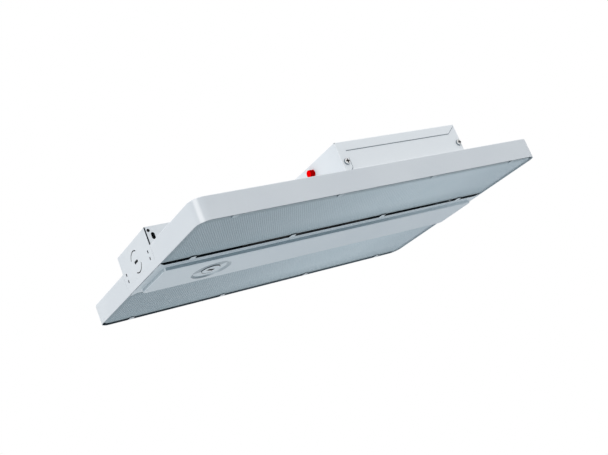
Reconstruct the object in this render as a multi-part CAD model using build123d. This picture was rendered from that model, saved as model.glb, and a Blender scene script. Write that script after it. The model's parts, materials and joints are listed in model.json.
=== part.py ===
from build123d import *
import os

# A recessed-lens LED high bay light, lens side down, with an emergency battery box on its back.
# Millimetres. X runs along the light, Y across it, Z up.
# The origin is at the middle of the light's plan, on the underside of the centre cover's tray,
# which is the lowest face.

# Housing pan
LENGTH = 610.0                # overall, end wall to end wall
WIDTH = 402.0                 # overall, side wall to side wall
RIM_HEIGHT = 31.5             # from the rim to the top of the deck
CORNER_R = 18.0               # outside radius of the pan's upright corners
SHEET = 0.9                   # every folded steel sheet
PAN_BEND_R = 1.5              # outside radius where the walls fold down from the deck

# Centre cover
TRAY_DROP = 5.8               # how far the tray stands below the rim
TRAY_WIDTH = 87.4
TRAY_END_MARGIN = 13.2        # from the end wall's outside to the tray's end
TRAY_CORNER_R = 6.0
TRAY_EDGE_R = 1.2             # outside radius round the tray's lower edge
TRAY_ROOT_R = 0.5             # where the tray leaves the flange
FLANGE_WIDTH = 107.0
FLARE_REACH = 9.0             # how much wider the flange is at its very ends
FLARE_LENGTH = 9.0
COVER_CLEARANCE = 0.9         # to the end walls
EAR_WIDTH = 14.0              # upright ears that hook into the end flaps
EAR_TOP = 29.0                # above the rim
EAR_CLEARANCE = 0.5
EAR_WINDOW_WIDTH = 8.0
EAR_WINDOW_MARGIN = 0.6       # window above each slot's upper edge
HOOK_DEPTH = 1.2
HOOK_WIDTH = 1.4
HOOK_HEIGHT = 0.7
HOOK_GAP = 0.1                # from a hook to its slot's lower edge

# Lenses and the tabs that carry them
LENS_THICKNESS = 2.0
LENS_WALL_GAP = 6.0           # to the side wall
LENS_COVER_GAP = 6.9          # to the cover's flange
LENS_END_GAP = 1.5
LENS_CORNER_R = 16.0
TAB_WIDTH = 10.0              # at its root
TAB_TIP_WIDTH = 7.4
WALL_TAB_LENGTH = 10.0
COVER_TAB_LENGTH = 8.2
TAB_INNER_SHARE = 0.141       # of the length, from the middle
TAB_OUTER_INSET = 53.0        # from the end

# Sensor knockout in the tray
SENSOR_INSET = 106.0          # from the left end
SENSOR_Y = 1.5
SENSOR_DISH_R = 30.7          # round dish pressed up into the tray
SENSOR_DISH_SLOPE = 3.4       # width of its sloping side
SENSOR_DISH_DEPTH = 1.8
SENSOR_KNOCKOUT_D = 30.0      # the knockout stands out again from the dish
SENSOR_KNOCKOUT_DROP = 1.2
SENSOR_ARC_START = 235.0      # degrees
SENSOR_PRY_TURN = 25.0

# Wireway channel
CHANNEL_WIDTH = 112.0
CHANNEL_HEIGHT = 25.6         # above the deck
CHANNEL_BEND_R = 1.2
CHANNEL_FOOT = 9.0            # inward feet that lie on the deck
FLAP_BOTTOM = 10.0            # end flap's lower edge, above the rim
FLAP_SEAM = 0.3               # between the flap's sides and the notch in the end wall
FLAP_FOOT_GAP = 0.05          # under the flap
CORNER_SLIT = 0.5             # from the flap's edge to the side's inside face
SIDE_SETBACK = 1.4            # the sides stop short of the flap's face
CONDUIT_KNOCKOUT_D = 31.0
CONDUIT_KNOCKOUT_Z = 29.0     # above the rim
CONDUIT_ARC_START = 57.0      # degrees
HOOK_SLOT_Y = 43.5
HOOK_SLOT_WIDTH = 2.4
HOOK_SLOT_HEIGHT = 3.6
HOOK_SLOT_LOW_Z = 16.2        # above the rim
HOOK_SLOT_HIGH_Z = 25.8
HANGER_HOLE_D = 4.6
HANGER_HOLE_INSET = 4.9       # from the channel's end
HANGER_HOLE_Z = 51.0          # above the rim
HANGER_SLOT_WIDTH = 5.5
HANGER_SLOT_HEIGHT = 10.0
HANGER_SLOT_INSET = 9.6
HANGER_SLOT_Z = 42.6          # above the rim

# Deck opening under the channel
DECK_END_STRIP = 15.0         # deck left between the opening and the end wall
DECK_OPENING_MARGIN = 1.0     # the feet reach this far inside the opening's edge

# Knockout cuts
KNOCKOUT_CUT = 0.9
KNOCKOUT_ARC = 100.0          # degrees in each of the two cuts
PRY_LENGTH = 11.5
PRY_WIDTH = 2.8

# Rivets from channel to deck
RIVET_R = 2.0
RIVET_HEAD_R = 3.6
RIVET_HEAD = 1.2
RIVET_INSETS = (35.0, 140.0)  # from each end

# LED boards
BOARD_END_GAP = 23.0          # from a board to the pan's end
BOARD_WIDTH = 72.0
BOARD_THICKNESS = 1.6
BOARD_GAP = 12.0              # between the two boards over one lens
LED_SIZE = 3.0
LED_HEIGHT = 0.7
LED_COLUMNS = 12
LED_ROWS = 2
LED_END_MARGIN = 17.0         # from the first row to the board's end
LED_ROW_PITCH = 34.0
BOARD_SCREW_R = 1.5
BOARD_SCREW_HEAD_R = 2.8
BOARD_SCREW_HEAD = 1.8
BOARD_SCREW_INSET = 6.0

# LED driver under the channel's top
DRIVER_LENGTH = 236.0
DRIVER_WIDTH = 60.0
DRIVER_HEIGHT = 33.0
DRIVER_EDGE_R = 2.0
DRIVER_FOOT = 14.0
DRIVER_FOOT_THICKNESS = 1.5
DRIVER_SCREW_R = 2.0
DRIVER_SCREW_HEAD_R = 4.0
DRIVER_SCREW_HEAD = 2.4

# Terminal block and ground screw in the channel
TERMINAL_X = 152.0
TERMINAL_Y = 30.0
TERMINAL_LENGTH = 34.0
TERMINAL_WIDTH = 18.0
TERMINAL_HEIGHT = 15.0
TERMINAL_WAYS = 3
TERMINAL_HOLE_R = 2.2
GROUND_X = 186.0
GROUND_Y = 30.0
GROUND_SCREW_R = 2.0
GROUND_HEAD_AF = 8.0
GROUND_HEAD = 4.0

# Emergency battery box
BOX_LENGTH = 228.4
BOX_LEFT_X = -65.0
BOX_HEIGHT = 43.5             # above the deck
BOX_SETBACK = 3.0             # from the side wall's outside to the box's front
BOX_BEND_R = 1.4
LIP_HEIGHT = 13.6             # lid's front lip
LIP_CHAMFER_X = 15.0
LIP_CHAMFER_Z = 10.8
LIP_END_MARGIN = 2.0
LID_EAR_WIDTH = 14.4
LID_EAR_CORNER_R = 5.0
LID_GAP = 0.6                 # inside the lid's top and ends, more than their bends need
LID_FOOT_GAP = 0.8            # lid's lower edge above the deck
LID_FLANGE = 12.0
CORNER_RELIEF_R = 0.9
LID_SCREW_LEFT_INSET = 8.6
LID_SCREW_RIGHT_INSET = 5.0
LID_SCREW_Z = 13.2            # above the deck
LID_SCREW_R = 2.0
LID_SCREW_HEAD_R = 4.7
LID_SCREW_HEAD = 3.0
LID_SCREW_LENGTH = 8.0
CROSS_LENGTH = 5.6
CROSS_WIDTH = 1.3
CROSS_DEPTH = 1.8
BOX_SCREW_INSET_X = 21.0
BOX_SCREW_SHARE_Y = 0.12      # of the box's depth
BOX_SCREW_R = 2.0
BOX_SCREW_HEAD_R = 4.0
BOX_SCREW_HEAD = 2.4
BOX_SCREW_TIP = 3.0           # below the deck

# Battery pack, its strap, and the emergency driver
CELL_SHARE = 0.0986           # cell radius as a share of the box's depth
PACK_SHARE_Y = 0.31           # of the depth, from the back
PACK_END_ROOM = 31.2          # from the pack to each end of the box
STRAP_WIDTH = 20.0
STRAP_THICKNESS = 1.2
STRAP_CLEARANCE = 0.2
STRAP_FOOT = 10.0
EMERGENCY_END_ROOM = 26.2
EMERGENCY_SHARE = 0.28        # width as a share of the box's depth
EMERGENCY_SHARE_Y = 0.2465    # of the depth, from the front
EMERGENCY_HEIGHT = 30.0
EMERGENCY_FOOT = 12.0

# Snap bushing between box and channel
BUSHING_INSET = 43.4          # from the box's right end
BUSHING_HOLE_R = 8.0
BUSHING_BORE_R = 6.2
BUSHING_FLANGE_R = 9.6
BUSHING_FLANGE = 1.6

# Test switch in the lid's left end
SWITCH_SHARE_Y = 0.478        # of the box's depth, from the front
SWITCH_Z = 30.4               # above the deck
BUTTON_R = 5.5
BUTTON_LENGTH = 5.0
BUTTON_WALL = 0.5
BUTTON_FACE = 1.2
BUTTON_EDGE_R = 0.7
BUTTON_TRAVEL = 1.8
BUTTON_CLEARANCE = 0.3
STEM_R = 1.5
STEM_FIT = 0.06
STEM_END = 6.0                # stem's reach inside the panel, unpressed
NUT_FLANGE = 0.8              # outside the panel
NUT_WALL = 0.65
CASE_SIZE = 12.0
CASE_LENGTH = 11.0

HOLE_FIT = 0.05               # radial room round a screw or rivet in its hole
ROD_SIDES = 8                 # small hidden screws and rivets are eight-sided
BUSHING_SIDES = 16

# Heights and planes that follow
RIM_Z = TRAY_DROP
DECK_Z = RIM_Z + RIM_HEIGHT
CHANNEL_Z = DECK_Z + CHANNEL_HEIGHT
CHANNEL_UNDER_Z = CHANNEL_Z - SHEET
END_X = LENGTH / 2
SIDE_Y = WIDTH / 2
CHANNEL_Y = CHANNEL_WIDTH / 2
FLANGE_Y = FLANGE_WIDTH / 2
TRAY_X = END_X - TRAY_END_MARGIN
LENS_Z = RIM_Z + SHEET
TAB_INNER_X = TAB_INNER_SHARE * LENGTH
TAB_OUTER_X = END_X - TAB_OUTER_INSET
SENSOR_X = -(END_X - SENSOR_INSET)
RIVET_X = [side * (END_X - inset) for side in (-1, 1) for inset in RIVET_INSETS]
BOARD_LENGTH = (LENGTH - 2 * BOARD_END_GAP - BOARD_GAP) / 2
LED_COLUMN_PITCH = (BOARD_LENGTH - 2 * LED_END_MARGIN) / (LED_COLUMNS - 1)
OPENING_Y = CHANNEL_Y - SHEET - CHANNEL_FOOT + DECK_OPENING_MARGIN
OPENING_X = END_X - DECK_END_STRIP
FOOT_Y = CHANNEL_Y - SHEET - (CHANNEL_FOOT - DECK_OPENING_MARGIN) / 2
BOX_RIGHT_X = BOX_LEFT_X + BOX_LENGTH
BOX_FRONT_Y = -SIDE_Y + BOX_SETBACK
BOX_BACK_Y = -CHANNEL_Y
BOX_Z = DECK_Z + BOX_HEIGHT
BOX_FLOOR_Z = DECK_Z + SHEET
BOX_DEPTH = BOX_BACK_Y - BOX_FRONT_Y
BOX_MID_X = BOX_LEFT_X + BOX_LENGTH / 2
BOX_SCREW_INSET_Y = BOX_SCREW_SHARE_Y * BOX_DEPTH
CELL_R = CELL_SHARE * BOX_DEPTH
PACK_LENGTH = BOX_LENGTH - 2 * PACK_END_ROOM
PACK_X = BOX_MID_X
PACK_Y = BOX_BACK_Y - PACK_SHARE_Y * BOX_DEPTH
EMERGENCY_LENGTH = BOX_LENGTH - 2 * EMERGENCY_END_ROOM
EMERGENCY_WIDTH = EMERGENCY_SHARE * BOX_DEPTH
EMERGENCY_Y = BOX_FRONT_Y + EMERGENCY_SHARE_Y * BOX_DEPTH
BUSHING_X = BOX_RIGHT_X - BUSHING_INSET
SWITCH_Y = BOX_FRONT_Y + SWITCH_SHARE_Y * BOX_DEPTH
PANEL_Y = BOX_FRONT_Y + SHEET            # front of the body's front panel
LENS_MID_Y = (SIDE_Y - SHEET + FLANGE_Y) / 2
BOARD_Z = DECK_Z - SHEET - BOARD_THICKNESS
DRIVER_Z = CHANNEL_UNDER_Z - DRIVER_HEIGHT
PANEL_X = BOX_LEFT_X                     # outside of the lid's left end
SWITCH_HEIGHT = DECK_Z + SWITCH_Z
SLEEVE_R = BUTTON_R - BUTTON_WALL - BUTTON_CLEARANCE
BARREL_R = SLEEVE_R - NUT_WALL
BUTTON_OUT = BUTTON_LENGTH + BUTTON_TRAVEL + BUTTON_CLEARANCE + NUT_FLANGE
BARREL_OUT = BUTTON_OUT - BUTTON_FACE - BUTTON_TRAVEL - BUTTON_CLEARANCE
LED_LAYOUT = ((LED_COLUMNS, LED_COLUMN_PITCH), (LED_ROWS, LED_ROW_PITCH))


# Small helpers
def block(x0, x1, y0, y1, z0, z1):
    solid = Box(x1 - x0, y1 - y0, z1 - z0)
    return Pos((x0 + x1) / 2, (y0 + y1) / 2, (z0 + z1) / 2) * solid


def rod_x(radius, x0, x1, y, z):
    return Pos((x0 + x1) / 2, y, z) * Rot(0, 90, 0) * Cylinder(radius, x1 - x0)


def rod_y(radius, y0, y1, x, z):
    return Pos(x, (y0 + y1) / 2, z) * Rot(90, 0, 0) * Cylinder(radius, y1 - y0)


def rod_z(radius, z0, z1, x, y):
    return Pos(x, y, (z0 + z1) / 2) * Cylinder(radius, z1 - z0)


def faceted_rod(radius, z0, z1, x, y):
    section = RegularPolygon(radius, ROD_SIDES, major_radius=False)
    return Pos(x, y, z0) * extrude(section, z1 - z0)


def faceted_rod_y(radius, y0, y1, x, z):
    section = RegularPolygon(radius, BUSHING_SIDES, major_radius=False)
    return Pos(x, y1, z) * Rot(90, 0, 0) * extrude(section, y1 - y0)


def rounded_slab(length, width, corner, z0, z1):
    return Pos(0, 0, z0) * extrude(RectangleRounded(length, width, corner), z1 - z0)


def top_edges(solid):
    return solid.faces().sort_by(Axis.Z)[-1].edges()


def bottom_edges(solid):
    return solid.faces().sort_by(Axis.Z)[0].edges()


def centred(count, pitch):
    return [(i - (count - 1) / 2) * pitch for i in range(count)]


def save(shape, node):
    shape.label = node
    export_step(shape, os.path.join("parts", node + ".step"))


def group(solids):
    return Compound(children=[s.solid() if len(s.solids()) == 1 else s for s in solids])


# Where the repeated fastenings go
def rivet_places():
    return [(x, side * FOOT_Y) for x in RIVET_X for side in (-1, 1)]


def board_centres():
    offset = (BOARD_LENGTH + BOARD_GAP) / 2
    names = {}
    for side, y in (("near", -LENS_MID_Y), ("far", LENS_MID_Y)):
        for end, x in (("left", -offset), ("right", offset)):
            names[side + "_" + end] = (x, y)
    return names


def board_screw_places():
    dx = BOARD_LENGTH / 2 - BOARD_SCREW_INSET
    dy = BOARD_WIDTH / 2 - BOARD_SCREW_INSET
    corners = [(dx, dy), (-dx, -dy)]
    return [(x + cx, y + cy) for x, y in board_centres().values() for cx, cy in corners]


def box_screw_places():
    xs = (BOX_LEFT_X + BOX_SCREW_INSET_X, BOX_RIGHT_X - BOX_SCREW_INSET_X)
    ys = (BOX_FRONT_Y + BOX_SCREW_INSET_Y, BOX_BACK_Y - BOX_SCREW_INSET_Y)
    return [(x, y) for x in xs for y in ys]


def driver_screw_places():
    x = (DRIVER_LENGTH + DRIVER_FOOT) / 2
    return [(-x, 0.0), (x, 0.0)]


def strap_screw_places():
    reach = 2 * CELL_R + STRAP_CLEARANCE + STRAP_THICKNESS + STRAP_FOOT / 2
    return [(PACK_X, PACK_Y - reach), (PACK_X, PACK_Y + reach)]


def emergency_screw_places():
    x = (EMERGENCY_LENGTH + EMERGENCY_FOOT) / 2
    return [(PACK_X - x, EMERGENCY_Y), (PACK_X + x, EMERGENCY_Y)]


def lid_screw_places():
    z = DECK_Z + LID_SCREW_Z
    left = (BOX_LEFT_X + LID_SCREW_LEFT_INSET, BOX_FRONT_Y, z)
    right = (BOX_RIGHT_X - LID_SCREW_RIGHT_INSET, PANEL_Y, z)
    return [left, right]


def tab_places():
    return (-TAB_OUTER_X, -TAB_INNER_X, TAB_INNER_X, TAB_OUTER_X)


# Tab that carries a lens, from a root at y outwards to one side
def tab(x, y, way, length):
    root = TAB_WIDTH / 2
    tip = TAB_TIP_WIDTH / 2
    y0 = y - way * SHEET / 2
    y1 = y + way * length
    outline = make_face(Polyline((x - root, y0), (x + root, y0), (x + tip, y1), (x - tip, y1), close=True))
    return Pos(0, 0, RIM_Z) * extrude(outline, SHEET, dir=(0, 0, 1))


# Cuts of a knockout that is still in place, in the XY plane about the origin
def knockout_cuts(diameter, start, pry_turn, reach):
    cuts = []
    for turn in (0, 180):
        arc = CenterArc((0, 0), diameter / 2, start + turn, KNOCKOUT_ARC)
        cuts.append(SlotArc(arc, KNOCKOUT_CUT))
    cuts.append(Rot(0, 0, pry_turn) * SlotOverall(PRY_LENGTH, PRY_WIDTH))
    outline = Sketch() + cuts
    return Pos(0, 0, -reach) * extrude(outline, 2 * reach)


def housing_pan():
    outer = rounded_slab(LENGTH, WIDTH, CORNER_R, RIM_Z, DECK_Z)
    outer = fillet(top_edges(outer), PAN_BEND_R)
    inner = rounded_slab(LENGTH - 2 * SHEET, WIDTH - 2 * SHEET, CORNER_R - SHEET, RIM_Z, DECK_Z - SHEET)
    inner = chamfer(top_edges(inner), PAN_BEND_R - SHEET)
    pan = outer - inner
    pan -= block(-OPENING_X, OPENING_X, -OPENING_Y, OPENING_Y, RIM_Z, DECK_Z + SHEET)
    for side in (-1, 1):
        x0, x1 = sorted((side * (END_X - SHEET), side * (END_X + SHEET)))
        pan -= block(x0, x1, -CHANNEL_Y, CHANNEL_Y, RIM_Z + FLAP_BOTTOM - FLAP_FOOT_GAP, DECK_Z + SHEET)
        for x in tab_places():
            pan += tab(x, side * (SIDE_Y - SHEET), -side, WALL_TAB_LENGTH)
    for x, y in rivet_places():
        pan -= faceted_rod(RIVET_R + HOLE_FIT, DECK_Z - 2 * SHEET, DECK_Z + SHEET, x, y)
    for x, y in board_screw_places():
        pan -= faceted_rod(BOARD_SCREW_R + HOLE_FIT, DECK_Z - 2 * SHEET, DECK_Z + SHEET, x, y)
    for x, y in box_screw_places():
        pan -= faceted_rod(BOX_SCREW_R + HOLE_FIT, DECK_Z - 2 * SHEET, DECK_Z + SHEET, x, y)
    return pan


def channel_section():
    inner_y = CHANNEL_Y - SHEET
    outline = RectangleRounded(CHANNEL_WIDTH, 2 * CHANNEL_HEIGHT, CHANNEL_BEND_R)
    hollow = RectangleRounded(2 * inner_y, 2 * (CHANNEL_HEIGHT - SHEET), CHANNEL_BEND_R - SHEET)
    below = Pos(0, -CHANNEL_HEIGHT) * Rectangle(2 * CHANNEL_WIDTH, 2 * CHANNEL_HEIGHT)
    return Plane.YZ * Pos(0, DECK_Z) * (outline - hollow - below)


def end_flap_section():
    drop = CHANNEL_Z - (RIM_Z + FLAP_BOTTOM)
    outside = Rectangle(2 * CHANNEL_BEND_R, 2 * drop)
    outside = fillet(outside.vertices().sort_by(Axis.X)[-2:], CHANNEL_BEND_R)
    inside = Pos(-SHEET, 0) * Rectangle(2 * CHANNEL_BEND_R, 2 * (drop - SHEET))
    inside = fillet(inside.vertices().sort_by(Axis.X)[-2:], CHANNEL_BEND_R - SHEET)
    half = Pos(CHANNEL_BEND_R / 2, drop / 2) * Rectangle(CHANNEL_BEND_R, drop)
    flap = (outside - inside) & half
    return Plane.XZ * Pos(END_X - CHANNEL_BEND_R, RIM_Z + FLAP_BOTTOM) * flap


def end_flap():
    upper_y = CHANNEL_Y - SHEET - CORNER_SLIT
    lower_y = CHANNEL_Y - FLAP_SEAM
    section = end_flap_section()
    flap = Pos(0, lower_y, 0) * extrude(section, 2 * lower_y, dir=(0, -1, 0))
    for side in (-1, 1):
        y0, y1 = sorted((side * upper_y, side * (CHANNEL_Y + SHEET)))
        flap -= block(END_X - 2 * CHANNEL_BEND_R, END_X + SHEET, y0, y1, DECK_Z, CHANNEL_Z + SHEET)
        for z in (HOOK_SLOT_LOW_Z, HOOK_SLOT_HIGH_Z):
            flap -= hook_slot(END_X - SHEET, END_X, side * HOOK_SLOT_Y, RIM_Z + z)
    knockout = knockout_cuts(CONDUIT_KNOCKOUT_D, CONDUIT_ARC_START, 0, 2 * SHEET)
    flap -= Pos(END_X, 0, RIM_Z + CONDUIT_KNOCKOUT_Z) * Rot(0, 90, 0) * Rot(0, 0, 90) * knockout
    return flap


def wireway_channel():
    inner_y = CHANNEL_Y - SHEET
    fold_x = END_X - CHANNEL_BEND_R
    channel = extrude(channel_section(), 2 * END_X, dir=(1, 0, 0))
    channel = Pos(-END_X, 0, 0) * channel
    upper_y = inner_y - CORNER_SLIT
    foot_x = END_X - DECK_END_STRIP
    flap = end_flap()
    for end in (-1, 1):
        x0, x1 = sorted((end * fold_x, end * (END_X + SHEET)))
        channel -= block(x0, x1, -inner_y, inner_y, DECK_Z - SHEET, CHANNEL_Z + SHEET)
        channel += flap if end > 0 else Rot(0, 0, 180) * flap
        for side in (-1, 1):
            x0, x1 = sorted((end * (END_X - SIDE_SETBACK), end * (END_X + SHEET)))
            y0, y1 = sorted((side * upper_y, side * (CHANNEL_Y + SHEET)))
            channel -= block(x0, x1, y0, y1, DECK_Z, CHANNEL_Z + SHEET)
    for side in (-1, 1):
        y0, y1 = sorted((side * inner_y, side * (inner_y - CHANNEL_FOOT)))
        channel += block(-foot_x, foot_x, y0, y1, DECK_Z, DECK_Z + SHEET)
    for end in (-1, 1):
        for side in (-1, 1):
            hole_x = end * (END_X - HANGER_HOLE_INSET)
            slot_x = end * (END_X - HANGER_SLOT_INSET)
            y0, y1 = sorted((side * (CHANNEL_Y - 2 * SHEET), side * (CHANNEL_Y + SHEET)))
            channel -= rod_y(HANGER_HOLE_D / 2, y0, y1, hole_x, RIM_Z + HANGER_HOLE_Z)
            channel -= hanger_slot(slot_x, y0, y1)
    for x, y in rivet_places():
        channel -= faceted_rod(RIVET_R + HOLE_FIT, DECK_Z - SHEET, DECK_Z + 2 * SHEET, x, y)
    for x, y in driver_screw_places():
        channel -= faceted_rod(DRIVER_SCREW_R + HOLE_FIT, CHANNEL_UNDER_Z - SHEET, CHANNEL_Z + SHEET, x, y)
    ground_r = GROUND_SCREW_R + HOLE_FIT
    channel -= faceted_rod(ground_r, CHANNEL_UNDER_Z - SHEET, CHANNEL_Z + SHEET, GROUND_X, GROUND_Y)
    channel -= bushing_hole()
    return channel


def hanger_slot(x, y0, y1):
    outline = Rot(0, 0, 90) * SlotOverall(HANGER_SLOT_HEIGHT, HANGER_SLOT_WIDTH)
    tool = Pos(0, 0, -(y1 - y0) / 2) * extrude(outline, y1 - y0)
    return Pos(x, (y0 + y1) / 2, RIM_Z + HANGER_SLOT_Z) * Rot(90, 0, 0) * tool


def hook_slot(x0, x1, y, z):
    half_width = HOOK_SLOT_WIDTH / 2
    half_height = HOOK_SLOT_HEIGHT / 2
    return block(x0 - SHEET, x1 + SHEET, y - half_width, y + half_width, z - half_height, z + half_height)


def bushing_height():
    return (BOX_FLOOR_Z + CHANNEL_UNDER_Z) / 2


def bushing_hole():
    y0 = BOX_BACK_Y - 2 * SHEET
    y1 = BOX_BACK_Y + 2 * SHEET
    return faceted_rod_y(BUSHING_HOLE_R + HOLE_FIT, y0, y1, BUSHING_X, bushing_height())


def center_cover():
    flange_x = END_X - SHEET - COVER_CLEARANCE
    flare_y = FLANGE_Y + FLARE_REACH
    outline = Polyline(
        (-flange_x, -flare_y), (-flange_x + FLARE_LENGTH, -FLANGE_Y),
        (flange_x - FLARE_LENGTH, -FLANGE_Y), (flange_x, -flare_y),
        (flange_x, flare_y), (flange_x - FLARE_LENGTH, FLANGE_Y),
        (-flange_x + FLARE_LENGTH, FLANGE_Y), (-flange_x, flare_y), close=True)
    flange = Pos(0, 0, RIM_Z) * extrude(make_face(outline), SHEET)
    tray = rounded_slab(2 * TRAY_X, TRAY_WIDTH, TRAY_CORNER_R, 0, RIM_Z + SHEET)
    tray = fillet(bottom_edges(tray), TRAY_EDGE_R)
    cover = flange + tray
    root = [e for e in cover.edges() if is_tray_root(e)]
    cover = chamfer(root, TRAY_ROOT_R)
    hollow = rounded_slab(2 * (TRAY_X - SHEET), TRAY_WIDTH - 2 * SHEET, TRAY_CORNER_R - SHEET,
                          SHEET, RIM_Z + 2 * SHEET)
    hollow = chamfer(bottom_edges(hollow), TRAY_EDGE_R - SHEET)
    cover -= hollow
    for side in (-1, 1):
        for x in tab_places():
            cover += tab(x, side * FLANGE_Y, side, COVER_TAB_LENGTH)
    for end in (-1, 1):
        for side in (-1, 1):
            cover += cover_ear(end, side)
    dish = pressed_dish()
    cover += Pos(SENSOR_X, SENSOR_Y, SHEET) * dish
    cover -= Pos(SENSOR_X, SENSOR_Y, 0) * dish
    cover += Pos(SENSOR_X, SENSOR_Y, 0) * knockout_boss(0)
    cover -= Pos(SENSOR_X, SENSOR_Y, 0) * knockout_boss(SHEET)
    knockout = knockout_cuts(SENSOR_KNOCKOUT_D, SENSOR_ARC_START, SENSOR_PRY_TURN, 2 * SHEET)
    cover -= Pos(SENSOR_X, SENSOR_Y, 0) * knockout
    return cover


def is_tray_root(edge):
    centre = edge.center()
    level = abs(centre.Z - RIM_Z) < 0.01 and edge.bounding_box().size.Z < 0.01
    inside = abs(centre.Y) < TRAY_WIDTH / 2 + 0.1 and abs(centre.X) < TRAY_X + 0.1
    return level and inside


def pressed_dish():
    floor_r = SENSOR_DISH_R - SENSOR_DISH_SLOPE
    profile = Plane.XZ * make_face(Polyline(
        (0, 0), (SENSOR_DISH_R, 0), (floor_r, SENSOR_DISH_DEPTH), (0, SENSOR_DISH_DEPTH), close=True))
    return revolve(profile, Axis.Z)


def knockout_boss(inset):
    radius = (SENSOR_KNOCKOUT_D - KNOCKOUT_CUT) / 2 - inset
    low = SENSOR_DISH_DEPTH - SENSOR_KNOCKOUT_DROP + inset
    return rod_z(radius, low, SENSOR_DISH_DEPTH + 2 * inset, 0, 0)


def cover_ear(end, side):
    outside = END_X - SHEET - EAR_CLEARANCE
    x0, x1 = sorted((end * outside, end * (outside - SHEET)))
    y = side * HOOK_SLOT_Y
    ear = block(x0, x1, y - EAR_WIDTH / 2, y + EAR_WIDTH / 2, RIM_Z, RIM_Z + EAR_TOP)
    hx0, hx1 = sorted((end * outside, end * (outside + HOOK_DEPTH)))
    half_window = EAR_WINDOW_WIDTH / 2
    for z in (HOOK_SLOT_LOW_Z, HOOK_SLOT_HIGH_Z):
        low = RIM_Z + z - HOOK_SLOT_HEIGHT / 2 + HOOK_GAP
        high = RIM_Z + z + HOOK_SLOT_HEIGHT / 2 + EAR_WINDOW_MARGIN
        ear -= block(x0, x1, y - half_window, y + half_window, low + HOOK_HEIGHT, high)
        ear += block(hx0, hx1, y - HOOK_WIDTH / 2, y + HOOK_WIDTH / 2, low, low + HOOK_HEIGHT)
    return ear


def lens(side):
    long_x = END_X - SHEET - LENS_END_GAP
    wall_y = SIDE_Y - SHEET - LENS_WALL_GAP
    cover_y = FLANGE_Y + LENS_COVER_GAP
    sheet = block(-long_x, long_x, cover_y, wall_y, LENS_Z, LENS_Z + LENS_THICKNESS)
    corners = sheet.edges().filter_by(Axis.Z).group_by(Axis.Y)[-1]
    sheet = fillet(corners, LENS_CORNER_R)
    return sheet if side > 0 else Rot(0, 0, 180) * sheet


def led_board(x, y):
    board = block(x - BOARD_LENGTH / 2, x + BOARD_LENGTH / 2, y - BOARD_WIDTH / 2, y + BOARD_WIDTH / 2,
                  BOARD_Z, BOARD_Z + BOARD_THICKNESS)
    for sx, sy in board_screw_places():
        if abs(sx - x) < BOARD_LENGTH / 2 and abs(sy - y) < BOARD_WIDTH / 2:
            board -= faceted_rod(BOARD_SCREW_R + HOLE_FIT, BOARD_Z - 1, BOARD_Z + BOARD_THICKNESS + 1, sx, sy)
    return board


def led_packages(x, y):
    half = LED_SIZE / 2
    packages = []
    for dx in centred(LED_COLUMNS, LED_COLUMN_PITCH):
        for dy in centred(LED_ROWS, LED_ROW_PITCH):
            cx = x + dx
            cy = y + dy
            packages.append(block(cx - half, cx + half, cy - half, cy + half, BOARD_Z - LED_HEIGHT, BOARD_Z))
    return group(packages)


def screw_down(x, y, z, radius, length, head_radius, head_height):
    head = faceted_rod(head_radius, z, z + head_height, x, y)
    return faceted_rod(radius, z - length, z, x, y) + head


def screw_up(x, y, z, radius, length, head_radius, head_height):
    head = faceted_rod(head_radius, z - head_height, z, x, y)
    return faceted_rod(radius, z, z + length, x, y) + head


def board_screws():
    length = BOARD_THICKNESS + SHEET
    return group([screw_up(x, y, BOARD_Z, BOARD_SCREW_R, length, BOARD_SCREW_HEAD_R, BOARD_SCREW_HEAD)
                  for x, y in board_screw_places()])


def channel_rivets():
    rivets = []
    for x, y in rivet_places():
        rivet = faceted_rod(RIVET_R, DECK_Z - SHEET, DECK_Z + SHEET, x, y)
        rivet += faceted_rod(RIVET_HEAD_R, DECK_Z + SHEET, DECK_Z + SHEET + RIVET_HEAD, x, y)
        rivet += faceted_rod(RIVET_HEAD_R - 0.8, DECK_Z - SHEET - RIVET_HEAD, DECK_Z - SHEET, x, y)
        rivets.append(rivet)
    return group(rivets)


def led_driver():
    half_x = DRIVER_LENGTH / 2
    half_y = DRIVER_WIDTH / 2
    case = block(-half_x, half_x, -half_y, half_y, DRIVER_Z, CHANNEL_UNDER_Z)
    case = fillet(case.edges().filter_by(Axis.X), DRIVER_EDGE_R)
    reach = half_x + DRIVER_FOOT
    foot = block(-reach, reach, -half_y / 2, half_y / 2, CHANNEL_UNDER_Z - DRIVER_FOOT_THICKNESS, CHANNEL_UNDER_Z)
    driver = case + foot
    for x, y in driver_screw_places():
        driver -= faceted_rod(DRIVER_SCREW_R + HOLE_FIT, CHANNEL_UNDER_Z - 2 * DRIVER_FOOT_THICKNESS, CHANNEL_Z, x, y)
    return driver


def driver_screws():
    length = SHEET + DRIVER_FOOT_THICKNESS + 2.0
    return group([screw_down(x, y, CHANNEL_Z, DRIVER_SCREW_R, length, DRIVER_SCREW_HEAD_R, DRIVER_SCREW_HEAD)
                  for x, y in driver_screw_places()])


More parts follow.
